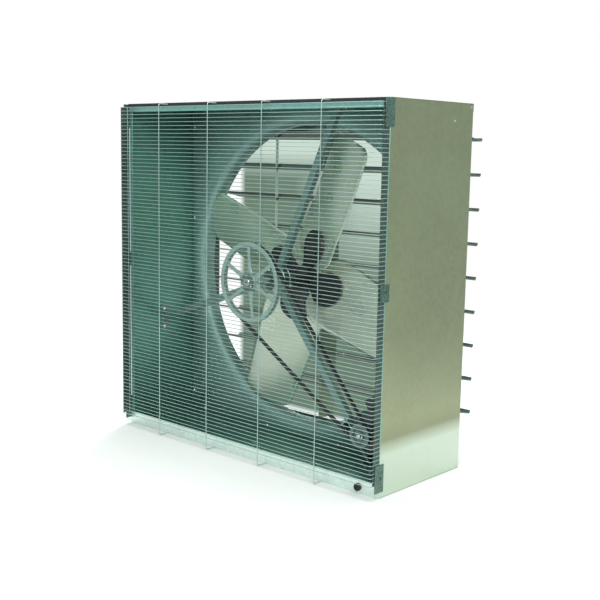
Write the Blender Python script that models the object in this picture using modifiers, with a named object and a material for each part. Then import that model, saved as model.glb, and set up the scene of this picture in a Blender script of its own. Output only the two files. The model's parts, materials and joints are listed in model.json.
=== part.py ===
"""Belt-drive cabinet exhaust fan for a greenhouse wall: a galvanised box with a wire guard on its
intake side (-Y), a four-blade propeller in a venturi orifice, and a gravity shutter behind (+Y).

Metres, +Z up. The origin is the middle of the footprint of the whole fan, on the floor.
"""
import math

import bmesh
import bpy
from mathutils import Matrix, Vector

# ---------------------------------------------------------------- driving dimensions
SIZE = 1.372                 # cabinet width and height, a 54 in box
HALF = SIZE / 2
DEPTH = 0.498                # cabinet depth, front flange to rear flange
SHEET = 0.002                # galvanised sheet
GAP = 0.0003                 # left between pieces that touch
GUARD_REACH = 0.053          # front of the guard's upright wires to the cabinet's front
LOUVER_REACH = 0.1273        # cabinet's back to the tips of the open louvers
FRONT = (GUARD_REACH - DEPTH - LOUVER_REACH) / 2     # y of the cabinet's front face
BACK = FRONT + DEPTH
AXIS_Z = HALF                # height of the fan shaft

TOP_FLANGE = 0.034
BOTTOM_FLANGE = 0.051
REAR_FLANGE = 0.030
SIDE_FLANGE = 0.020

PANEL_Y = FRONT + 0.357      # front of the orifice panel
THROAT_R = 0.613
BELL_R = 0.035
THROAT_END = 0.068           # orifice panel to the end of the venturi

WIRE = 0.0024
WIRE_PITCH = 0.01497
WIRE_COUNT = 88
TOP_WIRE_Z = SIZE - 0.0169
STAY_R = 0.0018
STAYS_X = (-0.430, -0.1438, 0.1438, 0.430)

BLADES = 4
BLADE_ANGLE = math.radians(22)       # of the first blade, clockwise from straight up
BLADE_Y = FRONT + 0.366
BLADE_ROOT_R = 0.062
BLADE_TIP_R = 0.598
BLADE_SHEET = 0.0025
BLADE_HALF = 0.140                   # half the chord near the root
BLADE_TAPER = 0.024                  # how much narrower each half is at the tip
ROOT_ROUND = 0.080                   # corner radii of the blade's root and tip
TIP_ROUND = 0.035
ROOT_PITCH = math.radians(20)
TIP_PITCH = math.radians(14)
TWIST_START_R = 0.2135
ARM_END_R = 0.200                    # the black hub's arms: rounded ends, narrow necks
ARM_ROUND = 0.070
ARM_THICKNESS = 0.014
SHAFT_R = 0.016

SHEAVE_Y = FRONT + 0.045             # middle of the belt
SHEAVE_R = 0.155
PULLEY_R = 0.0440
BELT_DEPTH = 0.010
BELT_WIDTH = 0.016
MOTOR_X = 0.566
MOTOR_Z = 0.193
MOTOR_R = 0.0825

STRUT_Y = FRONT + 0.178              # front face of the bearing struts
STRUT_WIDTH = 0.028
STRUT_DEPTH = 0.026
STRUT_ANGLES = {"strut_upper": 65.5, "strut_left": 199.3, "strut_motor": -51.5}

LOUVERS = 9
LOUVER_PITCH = 0.1318
TOP_HINGE_Z = 1.265
HINGE_Y = BACK - 0.014
LOUVER_CHORD = 0.142
LOUVER_DROOP = math.radians(12.5)
LOUVER_SHEET = 0.0016
LOUVER_HALF = 0.650                  # half the length of a louver's pivoted blade
MULLION_GAP = 0.006
MULLION_REACH = 0.072                # how far the middle divider stands out behind the cabinet
WINDOW_LOW = 0.062                   # the shutter panel's opening
WINDOW_HIGH = 1.270
ROD_R = 0.003
ARM_LENGTH = 0.030
ARM_ANGLE = math.radians(38)         # of the louver's arm below the horizontal, at rest
ARMS_X = (-0.2600, 0.3283)           # one arm for each half of the louver
PIN_R = 0.0025

COLLECTION = "cabinet_exhaust_fan"
LYING_Y = (math.pi / 2, 0, 0)                # local XY outline stands in XZ, thickness along Y
LYING_X = (math.pi / 2, 0, math.pi / 2)      # local XY outline stands in YZ, thickness along X


# ---------------------------------------------------------------- scene, materials, tools
def clear_scene():
    for obj in list(bpy.data.objects):
        bpy.data.objects.remove(obj, do_unlink=True)


def collection(name):
    made = bpy.data.collections.new(name)
    bpy.context.scene.collection.children.link(made)
    return made


def material(name, colour, roughness, metallic):
    made = bpy.data.materials.new(name)
    made.use_nodes = True
    shader = made.node_tree.nodes["Principled BSDF"]
    shader.inputs["Base Color"].default_value = (*colour, 1)
    shader.inputs["Roughness"].default_value = roughness
    shader.inputs["Metallic"].default_value = metallic
    return made


FINISHES = {
    "galvanised": ((0.46, 0.52, 0.49), 0.35, 1.0),
    "aluminium": ((0.60, 0.63, 0.60), 0.30, 1.0),
    "wire": ((0.55, 0.62, 0.60), 0.35, 1.0),
    "black_paint": ((0.02, 0.025, 0.025), 0.45, 0.0),
    "cast_iron": ((0.30, 0.34, 0.33), 0.50, 0.8),
    "steel": ((0.50, 0.52, 0.52), 0.30, 1.0),
    "rubber": ((0.01, 0.01, 0.01), 0.70, 0.0),
    "motor_paint": ((0.05, 0.06, 0.06), 0.40, 0.0),
}


def add_object(name, data, finish=None, location=(0, 0, 0), rotation=(0, 0, 0)):
    obj = bpy.data.objects.new(name, data)
    obj.location = location
    obj.rotation_euler = rotation
    parts.objects.link(obj)
    if finish:
        data.materials.append(material(name + "_" + finish, *FINISHES[finish]))
    return obj


def mesh_of(name, build):
    bm = bmesh.new()
    build(bm)
    mesh = bpy.data.meshes.new(name)
    bm.to_mesh(mesh)
    bm.free()
    return mesh


def box(name, low, high, finish=None, location=(0, 0, 0), rotation=(0, 0, 0)):
    low, high = Vector(low), Vector(high)
    size = Matrix.Diagonal((*(high - low), 1))

    def build(bm):
        bmesh.ops.create_cube(bm, size=1, matrix=Matrix.Translation((low + high) / 2) @ size)
    return add_object(name, mesh_of(name, build), finish, location, rotation)


def cylinder(name, radius, length, finish=None, location=(0, 0, 0), rotation=(0, 0, 0),
             segments=16, top_radius=None):
    def build(bm):
        bmesh.ops.create_cone(bm, cap_ends=True, segments=segments, radius1=radius,
                              radius2=radius if top_radius is None else top_radius, depth=length)
    obj = add_object(name, mesh_of(name, build), finish, location, rotation)
    smooth(obj)
    return obj


def smooth(obj, angle=35):
    if obj.type == "MESH":
        obj.data.shade_smooth()
        obj.data.set_sharp_from_angle(angle=math.radians(angle))


def settle(obj):
    """Turn the object with its modifiers into a plain welded mesh, and return the object."""
    depsgraph = bpy.context.evaluated_depsgraph_get()
    mesh = bpy.data.meshes.new_from_object(obj.evaluated_get(depsgraph), depsgraph=depsgraph)
    bm = bmesh.new()
    bm.from_mesh(mesh)
    bmesh.ops.remove_doubles(bm, verts=bm.verts, dist=0.00001)
    bmesh.ops.recalc_face_normals(bm, faces=bm.faces)
    bm.to_mesh(mesh)
    bm.free()
    name, place = obj.name, obj.matrix_world.copy()
    materials = list(obj.data.materials)
    bpy.data.objects.remove(obj, do_unlink=True)
    made = add_object(name, mesh)
    made.matrix_world = place
    mesh.materials.clear()
    for item in materials:
        mesh.materials.append(item)
    return made


def plate(name, outline, thickness, finish=None, holes=(), location=(0, 0, 0),
          rotation=(0, 0, 0)):
    """A flat outline with holes, extruded both ways from its own XY plane."""
    curve = bpy.data.curves.new(name, "CURVE")
    curve.dimensions = "2D"
    curve.fill_mode = "BOTH"
    curve.extrude = thickness / 2
    for points in (outline, *holes):
        spline = curve.splines.new("POLY")
        spline.points.add(len(points) - 1)
        for point, (x, y) in zip(spline.points, points):
            point.co = (x, y, 0, 1)
        spline.use_cyclic_u = True
    obj = add_object(name, curve, finish, location, rotation)
    bpy.context.view_layer.update()
    return settle(obj)


def wire(name, points, radius, finish):
    """A round wire along a route, with closed ends."""
    curve = bpy.data.curves.new(name, "CURVE")
    curve.dimensions = "3D"
    curve.bevel_depth = radius
    curve.bevel_resolution = 1
    curve.use_fill_caps = True
    spline = curve.splines.new("POLY")
    spline.points.add(len(points) - 1)
    for point, place in zip(spline.points, points):
        point.co = (*place, 1)
    obj = add_object(name, curve, finish)
    bpy.context.view_layer.update()
    return settle(obj)


def turned(name, profile, segments, finish=None, location=(0, 0, 0), rotation=(0, 0, 0),
           closed=False):
    """A profile of (radius, height) turned about the local Z axis."""
    mesh = bpy.data.meshes.new(name)
    edges = [(i, i + 1) for i in range(len(profile) - 1)]
    if closed:
        edges.append((len(profile) - 1, 0))
    mesh.from_pydata([(r, 0, z) for r, z in profile], edges, [])
    obj = add_object(name, mesh, finish, location, rotation)
    screw = obj.modifiers.new("turn", "SCREW")
    screw.steps = segments
    screw.render_steps = segments
    screw.use_merge_vertices = True
    screw.merge_threshold = 0.00001
    screw.use_normal_calculate = True
    bpy.context.view_layer.update()
    obj = settle(obj)
    smooth(obj)
    return obj


def combine(target, others, operation="UNION"):
    """Join the others to the target, or cut them out of it, and return the one solid."""
    for other in others:
        modifier = target.modifiers.new(operation.lower(), "BOOLEAN")
        modifier.operation = operation
        modifier.object = other
    bpy.context.view_layer.update()
    made = settle(target)
    for other in others:
        bpy.data.objects.remove(other, do_unlink=True)
    return made


def circle(x, y, radius, count, start=0.0, turn=2 * math.pi):
    whole = abs(turn - 2 * math.pi) < 1e-6
    steps = count if whole else count - 1
    angles = [start + turn * i / steps for i in range(count)]
    return [(x + radius * math.cos(a), y + radius * math.sin(a)) for a in angles]


def rectangle(low_x, low_y, high_x, high_y):
    return [(low_x, low_y), (high_x, low_y), (high_x, high_y), (low_x, high_y)]


# ---------------------------------------------------------------- cabinet
def folded_panel(name, z, inward, front_flange):
    """The top or bottom panel: a sheet with a flange at the front and one at the back."""
    outer = z
    inner = z + inward * SHEET
    outline = [
        (FRONT, outer), (BACK, outer), (BACK, z + inward * REAR_FLANGE),
        (BACK - SHEET, z + inward * REAR_FLANGE), (BACK - SHEET, inner),
        (FRONT + SHEET, inner), (FRONT + SHEET, z + inward * front_flange),
        (FRONT, z + inward * front_flange)]
    plate(name, outline, SIZE, "galvanised", rotation=LYING_X)


def side_panel(name, side):
    """A side panel: its flanges tuck behind those of the top and bottom panels."""
    inset = SHEET + GAP
    front, back = FRONT + inset, BACK - inset
    outer, inner = side * HALF, side * (HALF - SHEET)
    flange, rear = side * (HALF - SIDE_FLANGE), side * (HALF - REAR_FLANGE)
    outline = [
        (outer, front), (outer, back), (rear, back), (rear, back - SHEET), (inner, back - SHEET),
        (inner, front + SHEET), (flange, front + SHEET), (flange, front)]
    plate(name, outline, SIZE - 2 * inset, "galvanised", location=(0, 0, HALF))


def cabinet():
    folded_panel("cabinet_top", SIZE, -1, TOP_FLANGE)
    folded_panel("cabinet_bottom", 0, 1, BOTTOM_FLANGE)
    side_panel("cabinet_right_side", 1)
    side_panel("cabinet_left_side", -1)
    box("top_edge_strip", (-HALF, FRONT - 0.0035, SIZE - 0.0145),
        (HALF, FRONT - GAP, SIZE - 0.0005), "rubber")


def orifice_panel():
    """A flat panel across the cabinet, drawn into a bell mouth and a short venturi."""
    reach = HALF - SHEET - GAP
    mouth_r = THROAT_R + BELL_R
    panel = plate("orifice_panel", rectangle(-reach, -reach, reach, reach), SHEET, "galvanised",
                  [circle(0, 0, mouth_r - 0.004, 48)],
                  (0, PANEL_Y + SHEET / 2, AXIS_Z), LYING_Y)
    bell = []
    for i in range(5):
        a = math.radians(90 * i / 4)
        bell.append((mouth_r - BELL_R * math.sin(a), BELL_R * (1 - math.cos(a))))
    inner = bell + [(THROAT_R, THROAT_END)]
    outer = [(THROAT_R + SHEET, THROAT_END)]
    for i in range(4, -1, -1):
        a = math.radians(90 * i / 4)
        radius = BELL_R - SHEET
        outer.append((mouth_r - radius * math.sin(a), SHEET * 0.9 + radius * (1 - math.cos(a))))
    # depth d runs towards +Y, so the local height of the turned ring is minus d
    profile = [(r, -0.0001 - d) for r, d in reversed(inner + outer)]
    venturi = turned("venturi", profile, 48, location=(0, PANEL_Y, AXIS_Z), rotation=LYING_Y,
                     closed=True)
    combine(panel, [venturi])


# ---------------------------------------------------------------- guard
def ladder(name, low, high, rails):
    """A row of wires with a rail at both ends: a sheet with a slot cut between the wires.

    rails is how far the slot stays from the sheet's low and high sides, in x and y."""
    bottom_z = TOP_WIRE_Z - WIRE_PITCH * (WIRE_COUNT - 1)
    sheet = box(name, (*low, bottom_z - WIRE / 2), (*high, TOP_WIRE_Z + WIRE / 2), "wire")
    slot_low = [a + b for a, b in zip(low, rails[0])]
    slot_high = [a - b for a, b in zip(high, rails[1])]
    slot = box("slot", (*slot_low, bottom_z + WIRE / 2),
               (*slot_high, bottom_z + WIRE_PITCH - WIRE / 2))
    row = slot.modifiers.new("row", "ARRAY")
    row.count = WIRE_COUNT - 1
    row.use_relative_offset = False
    row.use_constant_offset = True
    row.constant_offset_displace = (0, 0, WIRE_PITCH)
    combine(sheet, [slot], "DIFFERENCE")


def guard():
    face = FRONT - GUARD_REACH + 2 * STAY_R + GAP
    through = 0.001
    ladder("guard_front_wires", (-HALF, face), (HALF, face + WIRE),
           ((WIRE, -through), (WIRE, -through)))
    for side, name in ((-1, "left"), (1, "right")):
        xs = sorted((side * HALF, side * (HALF - WIRE)))
        backing = (0.001, -through)[::side]
        ladder("guard_return_" + name, (xs[0], face + WIRE + GAP), (xs[1], FRONT - 0.0005),
               ((backing[0], 0.006), (backing[1], 0.006)))
    stay_y = FRONT - GUARD_REACH + STAY_R
    for i, x in enumerate(STAYS_X, 1):
        route = [(x, FRONT - 0.005, SIZE - 0.006), (x, stay_y + 0.004, SIZE - 0.004),
                 (x, stay_y, SIZE - 0.009), (x, stay_y, 0.009),
                 (x, stay_y + 0.004, 0.004), (x, FRONT - 0.0015, 0.006)]
        wire(f"guard_stay_{i}", route, STAY_R, "wire")


def guard_clips():
    """Flat sheet clips that screw to the cabinet's sides and hold the guard's returns."""
    outer = HALF + GAP
    front, rear = FRONT - 0.026, FRONT + 0.022
    heights = {"top": (1.322, 0.095), "middle": (0.722, 0.060), "bottom": (0.073, 0.100)}
    for side, side_name in ((-1, "left"), (1, "right")):
        xs = sorted((side * outer, side * (outer + SHEET)))
        for level, (z, height) in heights.items():
            clip = box(f"guard_clip_{side_name}_{level}", (xs[0], front, z - height / 2),
                       (xs[1], rear, z + height / 2), "galvanised")
            head = cylinder("screw_head", 0.0055, 0.004, segments=8,
                            location=(side * (outer + SHEET + 0.0015), FRONT + 0.011, z),
                            rotation=(0, math.pi / 2, 0))
            combine(clip, [head])


# ---------------------------------------------------------------- fan
def blade_rows():
    """Radii of the blade's rows and how far each side is drawn in there, root to tip."""
    rows = []
    for i in range(3):
        a = math.radians(45 * i)
        rows.append((BLADE_ROOT_R + ROOT_ROUND * (1 - math.cos(a)),
                     ROOT_ROUND * (1 - math.sin(a))))
    plain_end = BLADE_TIP_R - TIP_ROUND
    rows += [(TWIST_START_R + (plain_end - TWIST_START_R) * i / 4, 0) for i in range(4)]
    for i in range(2, -1, -1):
        a = math.radians(45 * i)
        rows.append((BLADE_TIP_R - TIP_ROUND * (1 - math.cos(a)), TIP_ROUND * (1 - math.sin(a))))
    return rows


def blade_point(r, drawn_in, across):
    """A point of the blade's middle surface; across runs from -1, trailing, to 1, leading."""
    outward = max(0.0, (r - TWIST_START_R) / (BLADE_TIP_R - TWIST_START_R))
    half = BLADE_HALF - BLADE_TAPER * outward - drawn_in
    pitch = ROOT_PITCH + (TIP_PITCH - ROOT_PITCH) * outward
    bulge = 0.018 * math.sin(math.pi / 2 * min(1.0, outward * 2.5))
    s = across * half
    along = Vector((math.cos(pitch), -math.sin(pitch), 0))
    face = Vector((-math.sin(pitch), -math.cos(pitch), 0))
    tip_arc = (BLADE_TIP_R - math.sqrt(BLADE_TIP_R ** 2 - s * s)) * outward
    return along * s + face * bulge * (0.45 - across * across) + Vector((0, 0, r - tip_arc))


def blade_mesh():
    rows, columns = blade_rows(), 6

    def build(bm):
        grid = [[bm.verts.new(blade_point(r, drawn_in, 2 * i / columns - 1))
                 for i in range(columns + 1)] for r, drawn_in in rows]
        for low, high in zip(grid, grid[1:]):
            for i in range(columns):
                bm.faces.new((low[i], low[i + 1], high[i + 1], high[i]))
    return mesh_of("blade", build)


def propeller():
    mesh = blade_mesh()
    mesh.materials.append(material("blade_galvanised", *FINISHES["galvanised"]))
    for i in range(BLADES):
        turn = (0, BLADE_ANGLE + i * math.pi / 2, 0)
        blade = add_object(f"blade_{i + 1}", mesh, location=(0, BLADE_Y, AXIS_Z), rotation=turn)
        shell = blade.modifiers.new("sheet", "SOLIDIFY")
        shell.thickness = BLADE_SHEET
        shell.offset = 0
    spider()


def spider():
    """The black hub: a boss and four flat arms that carry the blades from the front."""
    centre_r = ARM_END_R - ARM_ROUND
    neck, reach = 0.033, math.radians(150)
    outline = [(-neck, 0.012), (neck, 0.012), (neck, 0.055)]
    outline += circle(0, centre_r, ARM_ROUND, 13, math.pi / 2 - reach + math.radians(15),
                      2 * reach - math.radians(30))
    outline += [(-neck, 0.055)]
    arms = []
    for i in range(BLADES):
        arm = plate(f"arm_{i}", outline, ARM_THICKNESS)
        lift = BLADE_SHEET / 2 + GAP + ARM_THICKNESS / 2
        tilt = Matrix.Rotation(-ROOT_PITCH, 4, "Z") @ Matrix.Rotation(math.pi / 2, 4, "X")
        turn = Matrix.Rotation(BLADE_ANGLE + i * math.pi / 2, 4, "Y")
        arm.matrix_world = (Matrix.Translation((0, BLADE_Y, AXIS_Z)) @ turn @ tilt
                            @ Matrix.Translation((0, 0, lift)))
        arms.append(arm)
    bore_r = SHAFT_R + GAP
    profile = [(0.030, 0.096), (0.034, 0.060), (0.046, 0.045), (0.046, -0.022),
               (bore_r, -0.022), (bore_r, 0.096)]
    hub = turned("propeller_spider", profile, 24, "black_paint", (0, BLADE_Y, AXIS_Z), LYING_Y,
                 closed=True)
    hub = combine(hub, arms)
    bore = cylinder("bore", bore_r, 0.3, location=(0, BLADE_Y, AXIS_Z), rotation=LYING_Y,
                    segments=24)
    smooth(combine(hub, [bore], "DIFFERENCE"))


def shaft():
    start, end = FRONT + 0.022, BLADE_Y + 0.026
    cylinder("fan_shaft", SHAFT_R, end - start, "steel", (0, (start + end) / 2, AXIS_Z), LYING_Y,
             segments=24)


def grooved_rim(outer_r, inner_r, half_width):
    """The section of a V-belt rim: its grooved outer side, top to bottom, and its inner side."""
    depth = BELT_DEPTH + 0.0045
    return [(inner_r, half_width), (outer_r, half_width), (outer_r, BELT_WIDTH / 2 + 0.0010),
            (outer_r - depth, BELT_WIDTH / 2 - 0.0018), (outer_r - depth, 0.0018 - BELT_WIDTH / 2),
            (outer_r, -0.0010 - BELT_WIDTH / 2), (outer_r, -half_width), (inner_r, -half_width)]


def driven_sheave():
    """A cast sheave: grooved rim, six spokes and a hub bored for its bushing."""
    centre = (0, SHEAVE_Y, AXIS_Z)
    rim = turned("driven_sheave", grooved_rim(SHEAVE_R, SHEAVE_R - 0.0185, 0.012), 40, "cast_iron",
                 centre, LYING_Y, closed=True)
    hub_profile = [(0.036, 0.014), (0.036, -0.014), (0.0243, -0.014), (0.0243, 0.014)]
    hub = turned("hub", hub_profile, 24, None, centre, LYING_Y, closed=True)
    spokes = []
    for i in range(6):
        turn = Matrix.Rotation(math.radians(60 * i + 25), 4, "Y")
        spoke = box(f"spoke_{i}", (0.032, -0.0045, -0.0085), (SHEAVE_R - 0.017, 0.0045, 0.0085))
        spoke.matrix_world = Matrix.Translation(centre) @ turn
        spokes.append(spoke)
    smooth(combine(rim, [hub] + spokes))
    bush = [(0.033, 0.0195), (0.033, 0.0145), (0.0240, 0.0145), (0.0240, -0.016),
            (SHAFT_R + GAP, -0.016), (SHAFT_R + GAP, 0.0195)]
    turned("sheave_bushing", bush, 24, "steel", centre, LYING_Y, closed=True)


def belt_path(radius_big, radius_small):
    """The outline of a belt round both sheaves, at a depth set by the two radii."""
    reach = Vector((MOTOR_X, MOTOR_Z - AXIS_Z))
    heading = math.atan2(reach.y, reach.x)
    lean = math.acos((radius_big - radius_small) / reach.length)
    big = circle(0, 0, radius_big, 26, heading + lean, 2 * math.pi - 2 * lean)
    small = circle(reach.x, reach.y, radius_small, 11, heading - lean, 2 * lean)
    return big + small


def belt():
    mid_big, mid_small = SHEAVE_R - 0.0065, PULLEY_R - 0.0065
    curve = bpy.data.curves.new("v_belt", "CURVE")
    curve.dimensions = "3D"
    section = bpy.data.curves.new("belt_section", "CURVE")
    section.dimensions = "2D"
    half, low = BELT_WIDTH / 2, BELT_WIDTH / 2 - 0.003
    corners = [(-BELT_DEPTH / 2, -low), (BELT_DEPTH / 2, -half), (BELT_DEPTH / 2, half),
               (-BELT_DEPTH / 2, low)]
    for data, points in ((curve, belt_path(mid_big, mid_small)), (section, corners)):
        spline = data.splines.new("POLY")
        spline.points.add(len(points) - 1)
        for point, (x, y) in zip(spline.points, points):
            point.co = (x, y, 0, 1)
        spline.use_cyclic_u = True
    section_object = add_object("belt_section", section)
    curve.bevel_mode = "OBJECT"
    curve.bevel_object = section_object
    path = add_object("v_belt", curve, "rubber", (0, SHEAVE_Y, AXIS_Z), LYING_Y)
    bpy.context.view_layer.update()
    settle(path)
    bpy.data.objects.remove(section_object, do_unlink=True)


# ---------------------------------------------------------------- motor
def motor():
    front, back = FRONT + 0.105, FRONT + 0.285
    middle = (MOTOR_X, (front + back) / 2, MOTOR_Z)
    half = (back - front) / 2
    shell_profile = [(MOTOR_R, half), (MOTOR_R, -half), (MOTOR_R - 0.004, -half),
                     (MOTOR_R - 0.004, half)]
    shell = turned("motor_shell", shell_profile, 32, "motor_paint", middle, LYING_Y, closed=True)
    feet = []
    toward_strut = math.radians(STRUT_ANGLES["strut_motor"] - 90)
    for y in (-0.058, 0.058):
        foot = box(f"foot_{y}", (MOTOR_R - 0.003, y - 0.014, -0.062),
                   (0.0890, y + 0.014, 0.062))
        foot.matrix_world = Matrix.Translation(middle) @ Matrix.Rotation(-toward_strut, 4, "Y")
        feet.append(foot)
    smooth(combine(shell, feet))
    bell = [(0.0190, 0.020), (0.034, 0.018), (0.062, 0.014), (MOTOR_R, 0.004),
            (MOTOR_R, GAP), (MOTOR_R - 0.0044, GAP), (MOTOR_R - 0.0044, -0.012),
            (MOTOR_R - 0.012, -0.012), (0.0190, 0.004)]
    turned("motor_front_bell", bell, 32, "motor_paint", (MOTOR_X, front, MOTOR_Z), LYING_Y,
           closed=True)
    turned("motor_rear_bell", bell, 32, "motor_paint", (MOTOR_X, back, MOTOR_Z),
           (-math.pi / 2, 0, 0), closed=True)
    stator = [(MOTOR_R - 0.0045, 0.045), (MOTOR_R - 0.0045, -0.045), (0.046, -0.045),
              (0.046, 0.045)]
    turned("motor_stator", stator, 32, "steel", middle, LYING_Y, closed=True)
    rotor = [(0.045, 0.048), (0.045, -0.048), (0.0083, -0.048), (0.0083, 0.048)]
    turned("motor_rotor", rotor, 24, "steel", middle, LYING_Y, closed=True)
    shaft_start, shaft_end = FRONT + 0.026, back + 0.014
    cylinder("motor_shaft", 0.008, shaft_end - shaft_start, "steel",
             (MOTOR_X, (shaft_start + shaft_end) / 2, MOTOR_Z), LYING_Y, segments=16)
    rim = grooved_rim(PULLEY_R, 0.0083, 0.012)
    turned("motor_pulley", rim, 24, "cast_iron", (MOTOR_X, SHEAVE_Y, MOTOR_Z), LYING_Y,
           closed=True)
    conduit = box("motor_conduit_box", (-0.026, -0.036, MOTOR_R + GAP),
                  (0.026, 0.036, MOTOR_R + 0.040), "motor_paint")
    conduit.matrix_world = (Matrix.Translation(middle)
                            @ Matrix.Rotation(math.radians(-28), 4, "Y"))


def motor_base():
    """The folded bracket that slides along the motor strut to tension the belt."""
    angle = math.radians(STRUT_ANGLES["strut_motor"])
    along = Vector((math.cos(angle), 0, math.sin(angle)))
    out = Vector((-along.z, 0, along.x))
    motor_at = Vector((MOTOR_X, 0, MOTOR_Z - AXIS_Z))
    low = STRUT_WIDTH / 2 + GAP
    high = motor_at.dot(out) - 0.0890 - GAP
    thick, reach, foot = 0.004, 0.095, 0.034
    half = [(high, reach), (low, reach), (low, reach - foot), (low + thick, reach - foot),
            (low + thick, reach - thick), (high - thick, reach - thick)]
    outline = half + [(x, -y) for x, y in reversed(half)]
    bracket = plate("motor_bracket", outline, 0.150, "galvanised")
    place = Matrix((out, along, (0, 1, 0))).transposed().to_4x4()
    centre = Vector((0, FRONT + 0.195, AXIS_Z)) + along * motor_at.dot(along)
    bracket.matrix_world = Matrix.Translation(centre) @ place


# ---------------------------------------------------------------- bearing support
def strut(name, degrees):
    """A channel from the bearing to a cabinet wall, open at the back, cut to the wall."""
    half, thick = STRUT_WIDTH / 2, 0.0025
    outline = [(-half, 0), (half, 0), (half, STRUT_DEPTH), (half - thick, STRUT_DEPTH),
               (half - thick, thick), (thick - half, thick), (thick - half, STRUT_DEPTH),
               (-half, STRUT_DEPTH)]
    start, end = 0.032, 1.000
    angle = math.radians(degrees)
    along = Vector((math.cos(angle), 0, math.sin(angle)))
    channel = plate(name, outline, end - start, "galvanised",
                    location=Vector((0, STRUT_Y, AXIS_Z)) + along * (start + end) / 2,
                    rotation=(0, math.pi / 2 - angle, 0))
    room = HALF - SHEET - GAP
    inside = box("inside", (-room, FRONT, AXIS_Z - room), (room, BACK, AXIS_Z + room))
    channel = combine(channel, [inside], "INTERSECT")
    reach = min(room / max(abs(along.x), 1e-6), room / max(abs(along.z), 1e-6))
    end_point = along * reach
    depth, spread, thickness = 0.050, 0.055, 0.004
    if abs(abs(end_point.x) - room) < 1e-6:
        side = math.copysign(1, end_point.x)
        xs = sorted((side * room, side * (room - thickness)))
        foot = box("foot", (xs[0], STRUT_Y - 0.010, AXIS_Z + end_point.z - spread),
                   (xs[1], STRUT_Y - 0.010 + depth, AXIS_Z + end_point.z + spread))
    else:
        side = math.copysign(1, end_point.z)
        zs = sorted((side * room, side * (room - thickness)))
        foot = box("foot", (end_point.x - spread, STRUT_Y - 0.010, AXIS_Z + zs[0]),
                   (end_point.x + spread, STRUT_Y - 0.010 + depth, AXIS_Z + zs[1]))
    combine(channel, [foot])


def bearings():
    """Two round plates clamp the struts, and a flanged bearing is bolted to each of them."""
    bore_r = 0.024
    plate_r, thickness = 0.062, 0.005
    front_y = STRUT_Y - GAP - thickness / 2
    rear_y = STRUT_Y + STRUT_DEPTH + GAP + thickness / 2
    for name, y in (("bearing_plate_front", front_y), ("bearing_plate_rear", rear_y)):
        plate(name, circle(0, 0, plate_r, 24), thickness, "galvanised",
              [circle(0, 0, bore_r, 16)], (0, y, AXIS_Z), LYING_Y)
    profile = [(0.029, 0.030), (0.033, 0.014), (0.047, 0.011), (0.047, 0.0),
               (SHAFT_R + GAP, 0.0), (SHAFT_R + GAP, 0.030)]
    gap = thickness / 2 + GAP
    turned("bearing_front", profile, 24, "cast_iron", (0, front_y - gap, AXIS_Z), LYING_Y,
           closed=True)
    turned("bearing_rear", profile, 24, "cast_iron", (0, rear_y + gap, AXIS_Z),
           (-math.pi / 2, 0, 0), closed=True)


# ---------------------------------------------------------------- shutter
def louver_mesh():
    """One louver in its own frame: hinge line along X, blade towards +Y, lip turned up."""
    hook, rise = 0.014, math.radians(50)
    flat = LOUVER_CHORD - hook * math.cos(rise)
    under, over = 0.0015, 0.0015 + LOUVER_SHEET
    tip = (flat + hook * math.cos(rise), under + hook * math.sin(rise))
    thick_y, thick_z = -LOUVER_SHEET * math.sin(rise), LOUVER_SHEET * math.cos(rise)
    outline = [(-0.006, under), (flat, under), tip, (tip[0] + thick_y, tip[1] + thick_z),
               (flat - 0.0008, over), (-0.006, over)]
    length = LOUVER_HALF - MULLION_GAP
    middle = (LOUVER_HALF + MULLION_GAP) / 2
    left = plate("louver", outline, length, "aluminium", location=(-middle, 0, 0),
                 rotation=LYING_X)
    right = plate("right_half", outline, length, location=(middle, 0, 0), rotation=LYING_X)
    rod = cylinder("rod", ROD_R, 2 * (LOUVER_HALF + 0.008), rotation=(0, math.pi / 2, 0),
                   segments=8)
    others = [right, rod]
    tilt = LOUVER_DROOP + ARM_ANGLE
    pin_y, pin_z = -ARM_LENGTH * math.cos(tilt), -ARM_LENGTH * math.sin(tilt)
    angle = math.atan2(pin_z, pin_y)
    half = 0.0055
    ends = circle(0, 0, half, 5, math.pi / 2, math.pi) + [
        (x + ARM_LENGTH, y) for x, y in circle(0, 0, half, 5, -math.pi / 2, math.pi)]
    turned_ends = [(x * math.cos(angle) - y * math.sin(angle),
                    x * math.sin(angle) + y * math.cos(angle)) for x, y in ends]
    for x in ARMS_X:
        others.append(plate("arm", turned_ends, 0.002, location=(x, 0, 0), rotation=LYING_X))
        others.append(cylinder("pin", PIN_R, 0.0060, segments=8,
                               location=(x + math.copysign(0.0025, x), pin_y, pin_z),
                               rotation=(0, math.pi / 2, 0)))
    louver = combine(left, others)
    mesh = louver.data
    mesh.transform(louver.matrix_world)
    mesh.materials.clear()
    bpy.data.objects.remove(louver, do_unlink=True)
    return mesh


def hinge_heights():
    return [TOP_HINGE_Z - i * LOUVER_PITCH for i in range(LOUVERS)]


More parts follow.
